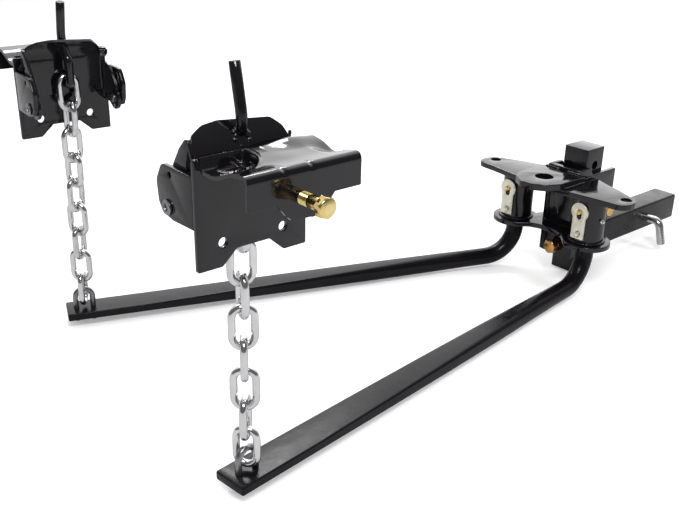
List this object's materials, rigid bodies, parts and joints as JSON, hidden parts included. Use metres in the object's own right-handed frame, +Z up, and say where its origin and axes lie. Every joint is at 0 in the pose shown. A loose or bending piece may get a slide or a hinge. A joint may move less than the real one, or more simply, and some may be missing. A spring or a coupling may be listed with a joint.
{
  "type": "weight distribution hitch",
  "caption": "Trailer weight distribution hitch: receiver shank, tilting hitch head, two spring bars, lift chains and snap-up frame brackets.",
  "frame": {"origin": "centre of the ball hole on the top face of the ball tab", "axes": "+X toward the tow vehicle along the receiver tube, +Y to the tow vehicle's left, +Z up along the ball hole"},
  "size_m": [1.2625, 0.8232, 0.526],
  "materials": {
    "black_powder_coat": "deep glossy black powder coat",
    "bar_paint": "glossy black paint over forged spring steel",
    "bright_zinc": "bright zinc plating",
    "yellow_zinc": "yellow chromate over zinc",
    "pale_zinc": "pale yellow zinc plating",
    "grey_zinc": "dull grey zinc plating"
  },
  "bodies": {
    "shank": {"receiver_shank": "black_powder_coat"},
    "hitch_pin": {"hitch_pin": "bright_zinc", "hitch_pin_clip": "bright_zinc"},
    "head": {"head_channel": "black_powder_coat", "wing_plate": "black_powder_coat", "ball_tab": "black_powder_coat", "lower_plate": "black_powder_coat", "right_socket": "black_powder_coat", "left_socket": "black_powder_coat", "head_welds": "black_powder_coat", "head_bolts": "yellow_zinc", "head_bolt_washers": "yellow_zinc", "head_bolt_nuts": "yellow_zinc", "tilt_nut": "black_powder_coat", "grease_fittings": "bright_zinc", "retainer_rivets": "pale_zinc"},
    "tilt_bolt": {"tilt_bolt": "yellow_zinc"},
    "right_retainer": {"right_retainer": "pale_zinc", "right_retainer_pin": "pale_zinc"},
    "right_bar": {"right_spring_bar": "bar_paint", "right_u_bolt": "grey_zinc", "right_u_bolt_nuts": "grey_zinc", "right_bracket_plate": "black_powder_coat", "right_saddle": "black_powder_coat", "right_ears": "black_powder_coat", "right_pivot_pins": "grey_zinc", "right_set_nut": "black_powder_coat"},
    "right_yoke": {"right_yoke": "black_powder_coat", "right_lever": "black_powder_coat"},
    "right_chain": {"right_chain": "bright_zinc"},
    "right_set_bolt": {"right_set_bolt": "yellow_zinc"},
    "left_retainer": {"left_retainer": "pale_zinc", "left_retainer_pin": "pale_zinc"},
    "left_bar": {"left_spring_bar": "bar_paint", "left_u_bolt": "grey_zinc", "left_u_bolt_nuts": "grey_zinc", "left_bracket_plate": "black_powder_coat", "left_saddle": "black_powder_coat", "left_ears": "black_powder_coat", "left_pivot_pins": "grey_zinc", "left_set_nut": "black_powder_coat"},
    "left_yoke": {"left_yoke": "black_powder_coat", "left_lever": "black_powder_coat"},
    "left_chain": {"left_chain": "bright_zinc"},
    "left_set_bolt": {"left_set_bolt": "yellow_zinc"}
  },
  "joints": [
    {"name": "hitch_pin_turn", "type": "hinge", "parent": "shank", "child": "hitch_pin", "pos_m": [0.3164, 0, -0.1431], "axis": [0, 1, 0], "range_deg": [-90, 90]},
    {"name": "head_tilt", "type": "hinge", "parent": "shank", "child": "head", "pos_m": [0.113, 0, -0.0585], "axis": [0, 1, 0], "range_deg": [0, 4]},
    {"name": "tilt_bolt_feed", "type": "slide", "parent": "head", "child": "tilt_bolt", "axis": [1, 0, 0], "range_m": [0, 0.006]},
    {"name": "right_retainer_pull", "type": "hinge", "parent": "head", "child": "right_retainer", "pos_m": [0.0026, -0.0802, -0.086], "axis": [0, -1, 0], "range_deg": [0, 8]},
    {"name": "right_bar_swing", "type": "hinge", "parent": "head", "child": "right_bar", "pos_m": [0.034, -0.0802, -0.1], "axis": [0, 0, 1], "range_deg": [-35, 35]},
    {"name": "right_lever_swing", "type": "hinge", "parent": "right_bar", "child": "right_yoke", "pos_m": [-0.76582, -0.14133, 0.17135], "axis": [-1, 0, 0], "range_deg": [0, 94]},
    {"name": "right_chain_swing", "type": "hinge", "parent": "right_yoke", "child": "right_chain", "pos_m": [-0.76582, -0.17133, 0.20635], "axis": [-1, 0, 0], "range_deg": [-83.1, 0]},
    {"name": "right_set_bolt_feed", "type": "slide", "parent": "right_bar", "child": "right_set_bolt", "axis": [0, 1, 0], "range_m": [0, 0.026]},
    {"name": "left_retainer_pull", "type": "hinge", "parent": "head", "child": "left_retainer", "pos_m": [0.0026, 0.0802, -0.086], "axis": [0, -1, 0], "range_deg": [0, 8]},
    {"name": "left_bar_swing", "type": "hinge", "parent": "head", "child": "left_bar", "pos_m": [0.034, 0.0802, -0.1], "axis": [0, 0, 1], "range_deg": [-35, 35]},
    {"name": "left_lever_swing", "type": "hinge", "parent": "left_bar", "child": "left_yoke", "pos_m": [-0.71594, 0.32555, 0.17135], "axis": [0.9979, -0.0645, 0], "range_deg": [0, 94]},
    {"name": "left_chain_swing", "type": "hinge", "parent": "left_yoke", "child": "left_chain", "pos_m": [-0.714, 0.35548, 0.20635], "axis": [0.9979, -0.0645, 0], "range_deg": [-83.1, 0]},
    {"name": "left_set_bolt_feed", "type": "slide", "parent": "left_bar", "child": "left_set_bolt", "axis": [-0.0645, -0.9979, 0], "range_m": [0, 0.026]}
  ],
  "couplings": [
    {"joint": "tilt_bolt_feed", "follows": "head_tilt", "m_per_rad": 0.086},
    {"joint": "right_chain_swing", "follows": "right_lever_swing", "ratio": -0.884},
    {"joint": "left_chain_swing", "follows": "left_lever_swing", "ratio": -0.884},
    {"joint": "left_bar_swing", "follows": "right_bar_swing", "ratio": 1}
  ]
}
